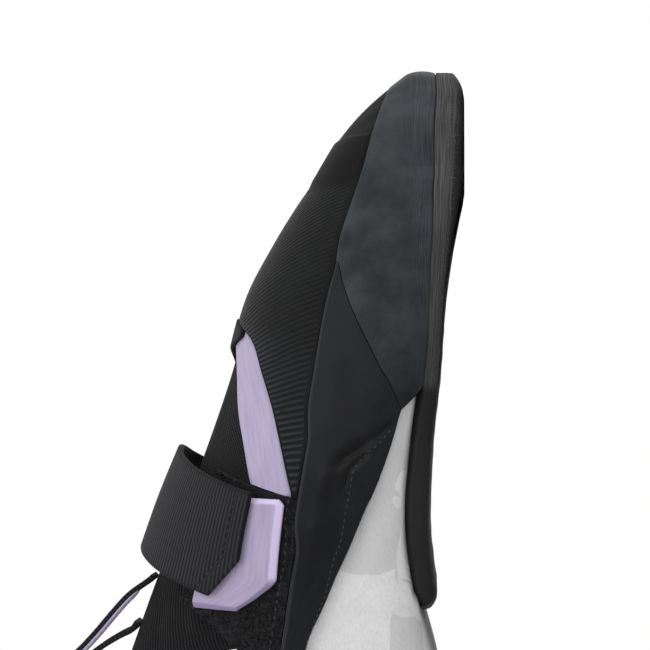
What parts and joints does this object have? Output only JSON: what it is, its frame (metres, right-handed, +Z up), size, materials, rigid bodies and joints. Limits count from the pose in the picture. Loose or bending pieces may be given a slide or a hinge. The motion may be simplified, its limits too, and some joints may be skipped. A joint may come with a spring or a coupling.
{
  "type": "climbing shoe",
  "caption": "Right climbing shoe, downturned, with black half sole and rands, pale suede upper, purple trim, knit tongue and one hook-and-loop strap.",
  "frame": {"origin": "on the floor under the middle of the shoe, at the bottom centre of its bounding box", "axes": "+Y towards the toe, +Z up out of the collar, +X towards the outer (little toe) side of a right foot"},
  "size_m": [0.0886, 0.238, 0.1091],
  "materials": {
    "sole_rubber": "matte climbing rubber, ground at the edges",
    "rand_rubber": "smooth matte rubber, slightly blue",
    "suede": "pale grey microsuede in two tones",
    "knit": "black ribbed knit",
    "loop_pile": "black fuzzy loop pile",
    "moulded_trim": "pale purple moulded plastic",
    "webbing": "black ribbed webbing",
    "insole_board": "dark grey lining board"
  },
  "bodies": {
    "root": {"outsole": "sole_rubber", "upper": "suede", "insole": "insole_board", "front_rand": "rand_rubber", "side_rand": "rand_rubber", "heel_cup": "sole_rubber", "toe_patch": "rand_rubber", "tongue": "knit", "loop_patch": "loop_pile", "throat_trim": "moulded_trim", "strap": "webbing", "strap_tab": "moulded_trim", "tongue_loop": "webbing"}
  },
  "joints": []
}
